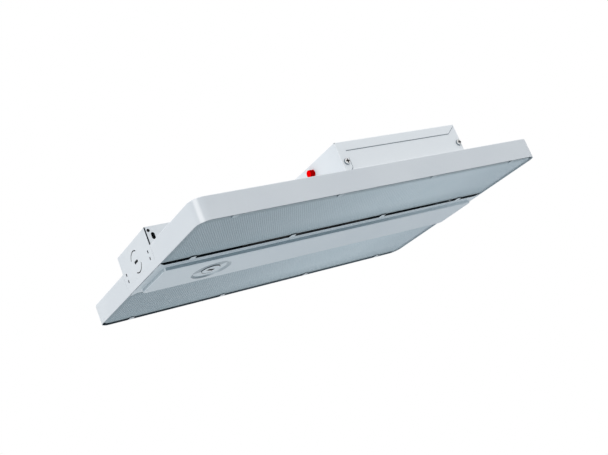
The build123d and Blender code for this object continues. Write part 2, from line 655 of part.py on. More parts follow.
def terminal_block():
    half_x = TERMINAL_LENGTH / 2
    half_y = TERMINAL_WIDTH / 2
    z0 = CHANNEL_UNDER_Z - TERMINAL_HEIGHT
    body = block(TERMINAL_X - half_x, TERMINAL_X + half_x, TERMINAL_Y - half_y, TERMINAL_Y + half_y,
                 z0, CHANNEL_UNDER_Z)
    for dx in centred(TERMINAL_WAYS, TERMINAL_LENGTH / TERMINAL_WAYS):
        x = TERMINAL_X + dx
        mouth_z = z0 + TERMINAL_HEIGHT / 3
        body -= block(x - TERMINAL_HOLE_R, x + TERMINAL_HOLE_R, TERMINAL_Y - half_y - 1, TERMINAL_Y - half_y / 3,
                      mouth_z - TERMINAL_HOLE_R, mouth_z + TERMINAL_HOLE_R)
        body -= faceted_rod(TERMINAL_HOLE_R, z0 - 1, z0 + TERMINAL_HEIGHT / 6, x, TERMINAL_Y + half_y / 2)
    return body


def hexagon(across_flats, z0, z1):
    return Pos(0, 0, z0) * extrude(RegularPolygon(across_flats / 2, 6, major_radius=False), z1 - z0)


def ground_screw():
    head = hexagon(GROUND_HEAD_AF, CHANNEL_UNDER_Z - GROUND_HEAD, CHANNEL_UNDER_Z)
    shank = faceted_rod(GROUND_SCREW_R, CHANNEL_UNDER_Z, CHANNEL_Z, 0, 0)
    return Pos(GROUND_X, GROUND_Y, 0) * (head + shank)


def front_plate(points, y0, y1):
    outline = make_face(Polyline(*[(x, y0, z) for x, z in points], close=True))
    return extrude(outline, y1 - y0, dir=(0, 1, 0))


def battery_box_body():
    left = BOX_LEFT_X + SHEET + LID_GAP
    right = BOX_RIGHT_X - SHEET - LID_GAP
    panel_top = BOX_Z - SHEET - LID_GAP
    floor = block(left, right, PANEL_Y, BOX_BACK_Y, DECK_Z, BOX_FLOOR_Z)
    front = block(left, BOX_RIGHT_X, PANEL_Y, PANEL_Y + SHEET, DECK_Z, panel_top)
    back = block(left, right, BOX_BACK_Y - SHEET, BOX_BACK_Y, DECK_Z, panel_top)
    body = floor + front + back
    for x, y in box_screw_places():
        body -= faceted_rod(BOX_SCREW_R + HOLE_FIT, DECK_Z - SHEET, BOX_FLOOR_Z + SHEET, x, y)
    for x, y in strap_screw_places() + emergency_screw_places():
        body -= faceted_rod(BOX_SCREW_R + HOLE_FIT, DECK_Z - SHEET, BOX_FLOOR_Z + SHEET, x, y)
    for x, y, z in lid_screw_places():
        body -= rod_y(LID_SCREW_R + HOLE_FIT, BOX_FRONT_Y - SHEET, PANEL_Y + 2 * SHEET, x, z)
    body -= bushing_hole()
    return body


def battery_box_lid():
    top_z = BOX_Z - SHEET
    foot_z = DECK_Z + LID_FOOT_GAP
    rear_y = BOX_BACK_Y - SHEET
    flange_y = PANEL_Y + SHEET
    right_x = BOX_RIGHT_X - SHEET
    lid = bent_cover(BOX_LEFT_X, BOX_RIGHT_X, BOX_FRONT_Y, rear_y, foot_z, BOX_Z, BOX_BEND_R)
    lid -= bent_cover(BOX_LEFT_X + SHEET, right_x, PANEL_Y, rear_y + 1, foot_z - 1, top_z, BOX_BEND_R - SHEET)
    lid -= lid_front_cut(foot_z)
    ear_edge = (BOX_LEFT_X + LID_EAR_WIDTH, BOX_FRONT_Y, foot_z)
    ear_corner = lid.edges().filter_by(Axis.Y).sort_by_distance(ear_edge)[0]
    lid = fillet(ear_corner, LID_EAR_CORNER_R)
    lid -= block(right_x - BOX_BEND_R, BOX_RIGHT_X + 1, PANEL_Y - 1, flange_y, foot_z - 1, top_z)
    lid += block(BOX_RIGHT_X - LID_FLANGE, right_x, flange_y, flange_y + SHEET, foot_z + SHEET, top_z)
    lid += block(BOX_LEFT_X + SHEET, right_x, rear_y - SHEET, rear_y, BOX_Z - LID_FLANGE, top_z)
    lid -= Plane(origin=(BOX_LEFT_X, BOX_FRONT_Y, BOX_Z), z_dir=(1, 1, -1)) * Cylinder(CORNER_RELIEF_R, 8)
    for x, y, z in lid_screw_places():
        lid -= rod_y(LID_SCREW_R + HOLE_FIT, BOX_FRONT_Y - SHEET, PANEL_Y + 3 * SHEET, x, z)
    lid -= rod_x(BARREL_R + HOLE_FIT, PANEL_X - SHEET, PANEL_X + 2 * SHEET, SWITCH_Y, SWITCH_HEIGHT)
    return lid


def bent_cover(x0, x1, y0, y1, z0, z1, radius):
    cover = block(x0, x1, y0, y1, z0, z1)
    upright = cover.edges().filter_by(Axis.Z).sort_by_distance((x0, y0, z0))[:1]
    top = top_edges(cover)
    front = top.filter_by(Axis.X).sort_by(Axis.Y)[:1]
    return fillet(upright + front + top.filter_by(Axis.Y), radius)


def lid_front_cut(foot_z):
    lip_z = BOX_Z - LIP_HEIGHT
    ear_x = BOX_LEFT_X + LID_EAR_WIDTH
    end_x = BOX_RIGHT_X - LIP_END_MARGIN
    beyond = BOX_RIGHT_X + 1
    points = [(ear_x, foot_z - 1), (ear_x, lip_z), (end_x - LIP_CHAMFER_X, lip_z),
              (end_x, lip_z + LIP_CHAMFER_Z), (end_x, BOX_Z + 1), (beyond, BOX_Z + 1), (beyond, foot_z - 1)]
    return front_plate(points, BOX_FRONT_Y - 1, PANEL_Y)


def lid_screw(x, y, z):
    profile = make_face(Polyline(
        (0, -LID_SCREW_LENGTH), (LID_SCREW_R, -LID_SCREW_LENGTH), (LID_SCREW_R, 0), (LID_SCREW_HEAD_R, 0),
        (LID_SCREW_HEAD_R, LID_SCREW_HEAD * 0.35), (LID_SCREW_HEAD_R * 0.87, LID_SCREW_HEAD * 0.75),
        (LID_SCREW_HEAD_R * 0.6, LID_SCREW_HEAD), (0, LID_SCREW_HEAD), close=True))
    screw = Pos(x, y, z) * Rot(90, 0, 0) * revolve(Plane.XZ * profile, Axis.Z)
    face = y - LID_SCREW_HEAD
    half_length = CROSS_LENGTH / 2
    half_width = CROSS_WIDTH / 2
    screw -= block(x - half_length, x + half_length, face, face + CROSS_DEPTH, z - half_width, z + half_width)
    screw -= block(x - half_width, x + half_width, face, face + CROSS_DEPTH, z - half_length, z + half_length)
    return screw


def box_screws():
    length = 2 * SHEET + BOX_SCREW_TIP
    return group([screw_down(x, y, BOX_FLOOR_Z, BOX_SCREW_R, length, BOX_SCREW_HEAD_R, BOX_SCREW_HEAD)
                  for x, y in box_screw_places()])


def pack_section(radius):
    return Plane.YZ * Pos(PACK_Y, BOX_FLOOR_Z + CELL_R) * SlotCenterToCenter(2 * CELL_R, 2 * radius)


def battery_pack():
    pack = Pos(PACK_X - PACK_LENGTH / 2, 0, 0) * extrude(pack_section(CELL_R), PACK_LENGTH)
    return pack


def battery_strap():
    x0 = PACK_X - STRAP_WIDTH / 2
    inside = CELL_R + STRAP_CLEARANCE
    outside = inside + STRAP_THICKNESS
    reach = CELL_R + outside + STRAP_FOOT
    hoop = Pos(x0, 0, 0) * extrude(pack_section(outside), STRAP_WIDTH)
    x1 = x0 + STRAP_WIDTH
    z_mid = BOX_FLOOR_Z + CELL_R
    y_out = CELL_R + outside
    hoop += block(x0, x1, PACK_Y - y_out, PACK_Y + y_out, BOX_FLOOR_Z, z_mid)
    hollow = extrude(pack_section(inside), 2 * STRAP_WIDTH)
    y_in = CELL_R + inside
    hoop -= Pos(x0 - STRAP_WIDTH / 2, 0, 0) * hollow
    hoop -= block(x0 - 1, x1 + 1, PACK_Y - y_in, PACK_Y + y_in, BOX_FLOOR_Z - 1, z_mid)
    hoop -= block(x0 - 1, x1 + 1, PACK_Y - 2 * y_out, PACK_Y + 2 * y_out, BOX_FLOOR_Z - outside, BOX_FLOOR_Z)
    for side in (-1, 1):
        y0, y1 = sorted((PACK_Y + side * y_out, PACK_Y + side * reach))
        hoop += block(x0, x1, y0, y1, BOX_FLOOR_Z, BOX_FLOOR_Z + STRAP_THICKNESS)
    for x, y in strap_screw_places():
        hoop -= faceted_rod(BOX_SCREW_R + HOLE_FIT, BOX_FLOOR_Z - 1, BOX_FLOOR_Z + 2 * STRAP_THICKNESS, x, y)
    return hoop


def strap_screws():
    z = BOX_FLOOR_Z + STRAP_THICKNESS
    length = STRAP_THICKNESS + SHEET
    return group([screw_down(x, y, z, BOX_SCREW_R, length, BOX_SCREW_HEAD_R, BOX_SCREW_HEAD)
                  for x, y in strap_screw_places()])


def emergency_driver():
    half_x = EMERGENCY_LENGTH / 2
    half_y = EMERGENCY_WIDTH / 2
    case = block(PACK_X - half_x, PACK_X + half_x, EMERGENCY_Y - half_y, EMERGENCY_Y + half_y,
                 BOX_FLOOR_Z, BOX_FLOOR_Z + EMERGENCY_HEIGHT)
    case = fillet(case.edges().filter_by(Axis.X).group_by(Axis.Z)[-1], DRIVER_EDGE_R)
    reach = half_x + EMERGENCY_FOOT
    case += block(PACK_X - reach, PACK_X + reach, EMERGENCY_Y - half_y / 2, EMERGENCY_Y + half_y / 2,
                  BOX_FLOOR_Z, BOX_FLOOR_Z + STRAP_THICKNESS)
    for x, y in emergency_screw_places():
        case -= faceted_rod(BOX_SCREW_R + HOLE_FIT, BOX_FLOOR_Z - 1, BOX_FLOOR_Z + 2 * STRAP_THICKNESS, x, y)
    return case


def emergency_screws():
    z = BOX_FLOOR_Z + STRAP_THICKNESS
    length = STRAP_THICKNESS + SHEET
    return group([screw_down(x, y, z, BOX_SCREW_R, length, BOX_SCREW_HEAD_R, BOX_SCREW_HEAD)
                  for x, y in emergency_screw_places()])


def snap_bushing():
    z = bushing_height()
    wall_0 = BOX_BACK_Y - SHEET
    wall_1 = BOX_BACK_Y + SHEET
    bushing = faceted_rod_y(BUSHING_HOLE_R, wall_0, wall_1, BUSHING_X, z)
    bushing += faceted_rod_y(BUSHING_FLANGE_R, wall_0 - BUSHING_FLANGE, wall_0, BUSHING_X, z)
    bushing += faceted_rod_y(BUSHING_HOLE_R + 0.6, wall_1, wall_1 + BUSHING_FLANGE, BUSHING_X, z)
    bushing -= faceted_rod_y(BUSHING_BORE_R, wall_0 - 2 * BUSHING_FLANGE, wall_1 + 2 * BUSHING_FLANGE, BUSHING_X, z)
    return bushing


def test_switch_body():
    out_x = PANEL_X - BARREL_OUT
    in_x = PANEL_X + SHEET
    half = CASE_SIZE / 2
    barrel = rod_x(BARREL_R, out_x, in_x, SWITCH_Y, SWITCH_HEIGHT)
    case = block(in_x, in_x + CASE_LENGTH, SWITCH_Y - half, SWITCH_Y + half, SWITCH_HEIGHT - half, SWITCH_HEIGHT + half)
    bore_end = PANEL_X + STEM_END + BUTTON_TRAVEL + BUTTON_CLEARANCE
    bore = rod_x(STEM_R + STEM_FIT, out_x - 1, bore_end, SWITCH_Y, SWITCH_HEIGHT)
    return barrel + case - bore


def test_switch_nut():
    length = BARREL_OUT
    profile = make_face(Polyline(
        (BARREL_R + HOLE_FIT, 0), (BUTTON_R, 0), (BUTTON_R, NUT_FLANGE), (SLEEVE_R, NUT_FLANGE),
        (SLEEVE_R, length), (BARREL_R + HOLE_FIT, length), close=True))
    return Pos(PANEL_X, SWITCH_Y, SWITCH_HEIGHT) * Rot(0, -90, 0) * revolve(Plane.XZ * profile, Axis.Z)


def test_button():
    skirt = BUTTON_LENGTH
    bore_r = BUTTON_R - BUTTON_WALL
    stem = BUTTON_OUT + STEM_END
    profile = make_face(Polyline(
        (0, 0), (BUTTON_R - BUTTON_EDGE_R, 0), (BUTTON_R - BUTTON_EDGE_R * 0.3, BUTTON_EDGE_R * 0.3),
        (BUTTON_R, BUTTON_EDGE_R), (BUTTON_R, skirt), (bore_r, skirt), (bore_r, BUTTON_FACE),
        (STEM_R, BUTTON_FACE), (STEM_R, stem), (0, stem), close=True))
    return Pos(PANEL_X - BUTTON_OUT, SWITCH_Y, SWITCH_HEIGHT) * Rot(0, 90, 0) * revolve(Plane.XZ * profile, Axis.Z)


def build():
    os.makedirs("parts", exist_ok=True)
    save(housing_pan(), "housing_pan")
    save(wireway_channel(), "wireway_channel")
    save(channel_rivets(), "channel_rivets")
    save(center_cover(), "center_cover")
    save(lens(-1), "lens_near")
    save(lens(1), "lens_far")
    for name, (x, y) in board_centres().items():
        save(led_board(x, y), "led_board_" + name)
        save(led_packages(x, y), "led_packages_" + name)
    save(board_screws(), "board_screws")
    save(led_driver(), "led_driver")
    save(driver_screws(), "driver_screws")
    save(terminal_block(), "terminal_block")
    save(ground_screw(), "ground_screw")
    save(battery_box_body(), "battery_box_body")
    save(battery_box_lid(), "battery_box_lid")
    save(group([lid_screw(*place) for place in lid_screw_places()]), "lid_screws")
    save(box_screws(), "box_screws")
    save(battery_pack(), "battery_pack")
    save(battery_strap(), "battery_strap")
    save(strap_screws(), "strap_screws")
    save(emergency_driver(), "emergency_driver")
    save(emergency_screws(), "emergency_screws")
    save(snap_bushing(), "snap_bushing")
    save(test_switch_body(), "test_switch_body")
    save(test_switch_nut(), "test_switch_nut")
    save(test_button(), "test_button")


build()
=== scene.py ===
import json
import math

import bmesh
import bpy
from mathutils import Matrix, Vector


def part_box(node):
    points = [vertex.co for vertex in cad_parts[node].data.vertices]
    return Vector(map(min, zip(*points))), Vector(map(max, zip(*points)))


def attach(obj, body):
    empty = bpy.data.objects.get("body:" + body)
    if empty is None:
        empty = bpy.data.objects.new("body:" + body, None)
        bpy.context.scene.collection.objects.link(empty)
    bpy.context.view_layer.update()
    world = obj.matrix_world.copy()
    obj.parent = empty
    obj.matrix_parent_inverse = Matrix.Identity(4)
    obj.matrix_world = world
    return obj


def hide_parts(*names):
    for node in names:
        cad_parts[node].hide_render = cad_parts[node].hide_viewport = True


# A shallow ceiling light hung lens side down, seen from below its near left corner.
# Metres, and degrees for the knockouts. X runs along the light, Y across it, Z up, and the origin is under
# the centre cover's tray.

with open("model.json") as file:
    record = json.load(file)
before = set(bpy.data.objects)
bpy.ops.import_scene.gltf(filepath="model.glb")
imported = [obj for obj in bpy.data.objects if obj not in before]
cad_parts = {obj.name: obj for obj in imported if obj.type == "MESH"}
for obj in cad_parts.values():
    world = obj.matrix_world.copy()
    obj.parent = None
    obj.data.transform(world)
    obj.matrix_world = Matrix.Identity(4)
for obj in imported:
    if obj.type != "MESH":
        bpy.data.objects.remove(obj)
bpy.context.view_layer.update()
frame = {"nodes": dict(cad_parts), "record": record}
nodes = frame["nodes"]
scene = bpy.context.scene

# The sheets' thickness, and how far from the outside or from an edge a face has to lie to count as inside
SHEET = 0.0009
SKIN = 0.0001
HAIR = 0.00005

# The housing pan, the walls and tabs inside it that take painted light and shade, and the painted sheen down
# its corners, in radians
PAN_HALF_X = 0.305
PAN_HALF_Y = 0.201
PAN_CORNER = 0.018
RIM = 0.0058
DECK_TOP = 0.0373
INSIDE_FROM = RIM + HAIR
LIT_WALL_TOP = 0.030
DECK_BEND = 0.0016
RIGHT_GAP_X = 0.3015
RIGHT_WALL_X = 0.286
FAR_WALL_Y = 0.1985
NEAR_TAB_ROOT_Y = -0.1975
NEAR_TABS_TOP = 0.0068
NEAR_TABS_END_X = 0.28
FLAP_FOOT = 0.0165
SHEEN_TURN = 0.84
SHEEN_SPREAD = (0.05, 0.28)
SHEEN_TOP = 0.0362

# The wireway channel, the knockouts and the hooks' slots in its end flaps
CHANNEL_HALF_Y = 0.056
CHANNEL_TOP = 0.0629
CHANNEL_BEND = 0.0013
KNOCKOUT_Z = 0.0348
KNOCKOUT_R = 0.0155
KNOCKOUT_START = 57.0
KNOCKOUT_HALF_LINE = 0.0008
KNOCKOUT_SLOT = (0.0060, 0.0019)
KNOCKOUT_HALF_ARC = 50.0
HOOK_SLOT_Y = 0.0435
HOOK_SLOT_ZS = (0.0220, 0.0316)
HOOK_SLOT = (0.0015, 0.0021)

# The centre cover's tray, and the round dish with the sensor's knockout in it, where shade and highlights are
# painted.
# VIEW_TURN is the way the camera looks over the dish in plan, to the right and to the far side.
TRAY_HALF_X = 0.2918
TRAY_HALF_Y = 0.0437
TRAY_CORNER = 0.006
TRAY_SKIN = 0.0004
TRAY_WALL_Y = 0.0430
TRAY_WALL_ZS = (0.0006, 0.0050)
TRAY_END_X = 0.2905
TRAY_END_ZS = (0.0008, 0.0052)
FLANGE_FROM = 0.0055
SENSOR_X = -0.199
SENSOR_Y = 0.0015
DISH_R = 0.0308
DISH_SLOPE_R = 0.0270
DISH_LIGHT_R = 0.0328
DISH_FLOOR_R = 0.0275
DISH_FLOOR_RAMP = (0.0150, 0.0162)
DISH_RIGHT_RAMP = (0.0235, 0.0250)
DISH_TOP = 0.0026
VIEW_TURN = (0.49, 0.87)
SENSOR_R = 0.0138
SENSOR_START = 235.0
SENSOR_HALF_LINE = 0.0006
SENSOR_TOP = 0.0010
SENSOR_SLOT_Y = 0.0025
SENSOR_SLOT = (0.0066, 0.0034)
SENSOR_SLOT_TURN = (0.906, 0.423)

# The battery box, its lid's front lip and ear, and the two screws through the lid
BOX_LEFT = -0.065
BOX_FRONT_Y = -0.198
BOX_FRONT_DEPTH = 0.0015
BOX_TOP = 0.0808
LIP_EDGE = 0.0672
LIP_SEAM_Z = 0.0668
LIP_HALF_SEAM = 0.0006
LIP_CHAMFER_X = 0.1464
LIP_END_X = 0.1616
LIP_CHAMFER_TURN = (0.584, 0.812)
LIP_CHAMFER_SHIFT = 0.0003
EAR_CENTRE = (-0.0556, 0.0431)
EAR_TOP = 0.0560
EAR_SEAM_R = 0.0056
EAR_HALF_SEAM = 0.0008
RELIEF_R = 0.0017
LID_SCREW_XS = (-0.0564, 0.1584)
LID_SCREW_Z = 0.0505
LID_SCREW_FACE_Y = -0.1985
LID_SCREW_RIM = 0.0042
LID_SCREW_CROSS = (0.0010, 0.0031)

# The lenses, the shade painted by their edges and in their valleys, the tabs that hold them, and the prisms
# on their undersides
LENS_END_X = 0.3026
LENS_MIDDLE_Y = 0.12725
LENS_HALF_Y = 0.06685
LENS_FAR_EDGES = (-0.0604, 0.1940)
LENS_CORNER = 0.016
CORNER_STEPS = 8
LENS_EDGE_REACH = (0.001, 0.012)
LENS_FAR_REACH = 0.050
VALLEY_ZS = (0.0067, 0.0073)
TAB_XS = (0.252, 0.086)
TAB_HALF_WIDTH = 0.0052
TAB_TIP_Y = 0.0632
PRISM_PITCH = 0.00325
PRISM_DEPTH = 0.0006
PRISM_MARGIN = 0.0016
PRISM_TIP_ROOM = 0.00002
PRISM_WELD = 0.00002
PRISM_ROW_SHARE = math.sqrt(3.0) / 2.0

# Levels between which an LED package turns from phosphor to cup, and the wave of its board's tracks
PHOSPHOR_LEVELS = (0.03412, 0.03425)
TRACK_WAVE = 285.6

# White baked coat, and the light and shade painted into it
COAT = ((0.735, 0.762, 0.785), (0.765, 0.790, 0.808))
# Painted light: the cover's coat is painted lighter than the pan's coat
COVER_COAT_PAINTED_LIGHT = ((0.820, 0.885, 0.915), (0.845, 0.905, 0.930))
COVER_PAINTED_LIGHT = (0.915, 0.975, 0.990)
BOX_FRONT_PAINTED_LIGHT = (0.925, 0.945, 0.956)
PAINTED_HIGHLIGHT = (0.985, 0.990, 0.995)
DARK_PAINTED_SHADE = (0.022, 0.040, 0.052)
DIM_PAINTED_SHADE = (0.070, 0.090, 0.105)
END_PAINTED_LIGHT = (0.780, 0.860, 0.900)
FAR_WALL_PAINTED_SHADE = ((0.055, 0.080, 0.095), (0.240, 0.310, 0.345))
TRAY_WALL_PAINTED_SHADE = (0.34, 0.42, 0.46)
DISH_PAINTED_SHADE = (0.270, 0.340, 0.375)
TAB_PAINTED_SHADES = ((0.560, 0.640, 0.675), (0.240, 0.290, 0.315))
CUT_PAINTED_SHADE = (0.010, 0.011, 0.012)
PAINTED_SHADOW_LINE = (0.22, 0.26, 0.29)

# Frosted lens, and the shade painted on it
LENS_TONES = ((0.795, 0.900, 0.930), (0.825, 0.920, 0.950))
LENS_RIGHT_PAINTED_SHADE = (0.715, 0.810, 0.845)
LENS_VALLEY_PAINTED_SHADE = (0.370, 0.445, 0.475)
LENS_FAR_SIDE_PAINTED_SHADE = (0.470, 0.580, 0.610)
LENS_EDGE_PAINTED_SHADE = (0.400, 0.480, 0.510)

# Floor, light and camera
FLOOR_REACH = 7.0
FLOOR_LEVEL = -1.6
FLOOR_TONE = (0.93, 0.93, 0.93)
FLOOR_BOUNCE = (0.40, 0.43, 0.46)
BACKGROUND = (1.0, 1.0, 1.0)
SKY = (0.90, 0.92, 0.94)
SIDE_GLOW = 0.80
HORIZON_LOW = (0.30, 0.33, 0.36)
EYE = Vector((-0.82939, -1.11056, -0.30257))
EYE_RIGHT = Vector((0.80148, -0.47408, -0.36452))
EYE_DOWN = Vector((-0.17418, 0.39806, -0.90067))
EYE_AHEAD = Vector((0.57209, 0.78536, 0.23646))
FOCAL_LENGTH = 54.28
FILM_WIDTH = 36.0


# Node maths: a value, a colour or a shape on a socket, with the usual operators
class Field:
    def __init__(self, tree, socket):
        self.tree = tree
        self.socket = socket

    def maths(self, operation, *others):
        return self.tree.node("ShaderNodeMath", {"operation": operation}, self, *others)

    def __add__(self, other):
        return self.maths("ADD", other)

    def __sub__(self, other):
        return self.maths("SUBTRACT", other)

    def __rsub__(self, other):
        return self.tree.node("ShaderNodeMath", {"operation": "SUBTRACT"}, other, self)

    def __mul__(self, other):
        return self.maths("MULTIPLY", other)

    def __truediv__(self, other):
        return self.maths("DIVIDE", other)

    def __pow__(self, other):
        return self.maths("POWER", other)

    def __neg__(self):
        return self.maths("MULTIPLY", -1.0)

    def least(self, other):
        return self.maths("MINIMUM", other)

    def most(self, other):
        return self.maths("MAXIMUM", other)

    def size(self):
        return self.maths("ABSOLUTE")

    def above(self, other):
        return self.maths("GREATER_THAN", other)

    def below(self, other):
        return self.maths("LESS_THAN", other)

    def between(self, low, high):
        return self.above(low) * self.below(high)

    def ramp(self, low, high):
        settings = {"interpolation_type": "SMOOTHSTEP"}
        return self.tree.node("ShaderNodeMapRange", settings, Value=self, From_Min=low, From_Max=high)


class Tree:
    def __init__(self, node_tree):
        self.nodes = node_tree.nodes
        self.links = node_tree.links
        self.nodes.clear()

    def node(self, kind, settings, *inputs, out=0, **named):
        made = self.nodes.new(kind)
        for name, value in settings.items():
            setattr(made, name, value)
        for place, value in enumerate(inputs):
            self.feed(made.inputs[place], value)
        for name, value in named.items():
            self.feed(made.inputs[name.replace("_", " ")], value)
        return Field(self, made.outputs[out]) if len(made.outputs) else made

    def feed(self, socket, value):
        if isinstance(value, Field):
            self.links.new(value.socket, socket)
        elif isinstance(value, tuple) and len(value) == 3 and socket.type == "RGBA":
            socket.default_value = value + (1.0,)
        else:
            socket.default_value = value

    def axes(self, vector):
        split = self.nodes.new("ShaderNodeSeparateXYZ")
        self.feed(split.inputs[0], vector)
        return [Field(self, socket) for socket in split.outputs]

    def mix(self, factor, one, two):
        made = self.nodes.new("ShaderNodeMix")
        made.data_type = "RGBA"
        self.feed(made.inputs["Factor"], factor)
        self.feed(made.inputs[6], one)
        self.feed(made.inputs[7], two)
        return Field(self, made.outputs[2])


# A material's tree, with the place of the shaded point in its sheet and the way the sheet faces there
class Surface(Tree):
    def __init__(self, material):
        material.use_nodes = True
        super().__init__(material.node_tree)
        self.place = self.node("ShaderNodeTexCoord", {}, out="Object")
        self.x, self.y, self.z = self.axes(self.place)
        facing = self.node("ShaderNodeNewGeometry", {}, out="True Normal")
        self.facing_x, self.facing_y, self.facing_z = self.axes(facing)

    def noise(self, scale, detail=3.0):
        return self.node("ShaderNodeTexNoise", {}, Vector=self.place, Scale=scale, Detail=detail)


# Rough is a noise's scale, its spread and the least roughness. Grain is a height, its depth and its strength.
# Scales of noise are turns a metre.
def finish(name, colour, rough, grain=None, **constants):
    material = bpy.data.materials.new(name)
    at = Surface(material)
    scale, spread, least = rough
    inputs = dict(constants, Base_Color=colour(at), Roughness=at.noise(scale) * spread + least)
    if grain:
        height, depth, strength = grain
        inputs["Normal"] = at.node("ShaderNodeBump", {}, Strength=strength, Distance=depth, Height=height(at))
    shader = at.node("ShaderNodeBsdfPrincipled", {}, **inputs)
    at.node("ShaderNodeOutputMaterial", {}, shader)
    return material


def speckled(at, scale, tones):
    return at.mix(at.noise(scale).ramp(0.35, 0.65), *tones)


def fine_grain(scale):
    return lambda at: at.noise(scale, 2.0)


# Each layer is a mask and the shade that shows where the mask is one
def painted(at, coat, layers):
    for mask, shade in layers:
        coat = at.mix(mask(at), coat, shade(at) if callable(shade) else shade)
    return coat


# White baked powder coat, with the fine ripple that such a coat dries with. Each sheet's own layers paint
# shade on its faces inside the light, where little light reaches, paint light and highlights, and paint shade
# where its cuts and seams run.
def powder_coat(name, layers, tones=COAT):
    def colour(at):
        return painted(at, at.mix(at.noise(9.0, 2.0).ramp(0.3, 0.7), *tones), layers)

    def ripple(at):
        return at.noise(900.0, 2.0) + at.noise(260.0, 1.0) * 0.6

    return finish(name, colour, (60.0, 0.10, 0.40), (ripple, 0.00006, 0.35), Specular_IOR_Level=0.45)


def distance(across, up):
    return (across * across + up * up) ** 0.5


# How far a point lies beyond the middles of a rounded rectangle's corners
def beyond_corners(at, half_x, half_y, corner):
    return at.x.size() - (half_x - corner), at.y.size() - (half_y - corner)


# Distance from a rounded rectangle in plan, less than nothing inside it
def outline_distance(at, half_x, half_y, corner):
    over_x, over_y = beyond_corners(at, half_x, half_y, corner)
    return distance(over_x.most(0.0), over_y.most(0.0)) + over_x.most(over_y).least(0.0) - corner


# Painted shade between the sheets, less dark towards the right end, and painted light at the very end
def inside_painted_light_and_shade(at):
    between = at.mix(at.x.ramp(0.10, 0.30), DARK_PAINTED_SHADE, DIM_PAINTED_SHADE)
    return at.mix(at.x.above(RIGHT_GAP_X), between, END_PAINTED_LIGHT)


# Painted shade on the pan's inside faces: all but the bend under the deck and the upper edges of the end
# walls' notches
def pan_inside(at):
    deep = outline_distance(at, PAN_HALF_X, PAN_HALF_Y, PAN_CORNER).below(-SKIN)
    bend = at.facing_z.above(0.2) * at.z.above(DECK_TOP - DECK_BEND)
    notch = at.facing_z.above(0.9) * at.z.below(FLAP_FOOT)
    return deep * at.z.between(INSIDE_FROM, DECK_TOP - SKIN) * (1.0 - bend) * (1.0 - notch)


# Painted light on the inner face of the right end wall
def pan_end_inside(at):
    return at.x.above(RIGHT_WALL_X) * at.z.between(INSIDE_FROM, LIT_WALL_TOP) * at.facing_x.below(-0.3)


# Painted shade on the inner face of the far wall, lighter towards the right
def pan_far_inside(at):
    return at.y.above(FAR_WALL_Y) * at.z.between(INSIDE_FROM, LIT_WALL_TOP) * at.facing_y.below(-0.5)


# Painted shade: dark at the left end of the far wall, lighter at the right
def far_wall_painted_shade(at):
    return at.mix(at.x.ramp(-0.30, 0.28), *FAR_WALL_PAINTED_SHADE)


# Painted shade on the tabs under the near wall
def pan_near_tabs(at):
    near_side = at.y.between(SHEET - PAN_HALF_Y, 0.0)
    return near_side * at.z.below(NEAR_TABS_TOP) * at.x.size().below(NEAR_TABS_END_X)


# Painted shade: the near tabs are painted a lens-like grey, darker by the wall
def near_tab_painted_shade(at):
    return at.mix(at.y.below(NEAR_TAB_ROOT_Y), *TAB_PAINTED_SHADES)


# Painted highlight: a brighter line down each rounded corner
def corner_painted_sheen(at):
    over_x, over_y = beyond_corners(at, PAN_HALF_X, PAN_HALF_Y, PAN_CORNER)
    turn = over_y.most(0.0).maths("ARCTAN2", over_x.most(0.0))
    return (1.0 - (turn - SHEEN_TURN).size().ramp(*SHEEN_SPREAD)) * at.z.below(SHEEN_TOP)


# Painted shade on the channel's inside faces: all but the bends under the top and the undersides of the end
# flaps
def channel_inside(at):
    across = at.y.size().below(CHANNEL_HALF_Y - SKIN)
    deep = at.x.size().below(PAN_HALF_X - SKIN) * across * at.z.below(CHANNEL_TOP - SKIN)
    bend = at.facing_z.above(0.2) * at.z.above(CHANNEL_TOP - CHANNEL_BEND)
    foot = at.facing_z.below(-0.9) * at.z.below(FLAP_FOOT)
    return deep * (1.0 - bend) * (1.0 - foot)


# The two arcs that a knockout is cut along, where a dark line of shade is painted
def knockout_arcs(across, up, radius, start, half_width):
    ring = (distance(across, up) - radius).size().below(half_width)
    middle = math.radians(start + KNOCKOUT_HALF_ARC)
    along = (up.maths("ARCTAN2", across) - middle).maths("SINE").size()
    return ring * along.below(math.sin(math.radians(KNOCKOUT_HALF_ARC)))


# A rectangle in a face, from the two distances to its middle
def patch(across, up, half):
    return across.size().below(half[0]) * up.size().below(half[1])


def nearest(value, places):
    return (value - places[0]).size().least((value - places[1]).size())


# Painted shade in the channel's cuts: the knockouts' arcs and slots, and the hooks' slots in the end flaps
def channel_cuts(at):
    end = at.x.size().above(PAN_HALF_X - 2 * SKIN)
    across = at.y * (at.x.below(0.0) * -2.0 + 1.0)
    up = at.z - KNOCKOUT_Z
    hooks = patch(at.y.size() - HOOK_SLOT_Y, nearest(at.z, HOOK_SLOT_ZS), HOOK_SLOT)
    arcs = knockout_arcs(across, up, KNOCKOUT_R, KNOCKOUT_START, KNOCKOUT_HALF_LINE)
    return arcs.most(hooks).most(patch(at.y, up, KNOCKOUT_SLOT)) * end


# Painted shade on the cover's faces inside the light
def cover_inside(at):
    deep = outline_distance(at, TRAY_HALF_X, TRAY_HALF_Y, TRAY_CORNER).below(-TRAY_SKIN)
    tray = deep * at.z.above(HAIR) * at.facing_z.above(-0.05)
    return tray.most(at.z.above(INSIDE_FROM))


# Painted shade on the tray's long walls, less towards its right end
def cover_walls(at):
    wall = at.z.between(*TRAY_WALL_ZS) * at.y.size().above(TRAY_WALL_Y) * at.facing_z.size().below(0.75)
    return wall * (1.0 - at.x.ramp(0.0, 0.25) * 0.60) * (1.0 - at.x.ramp(0.21, 0.29) * 0.65)


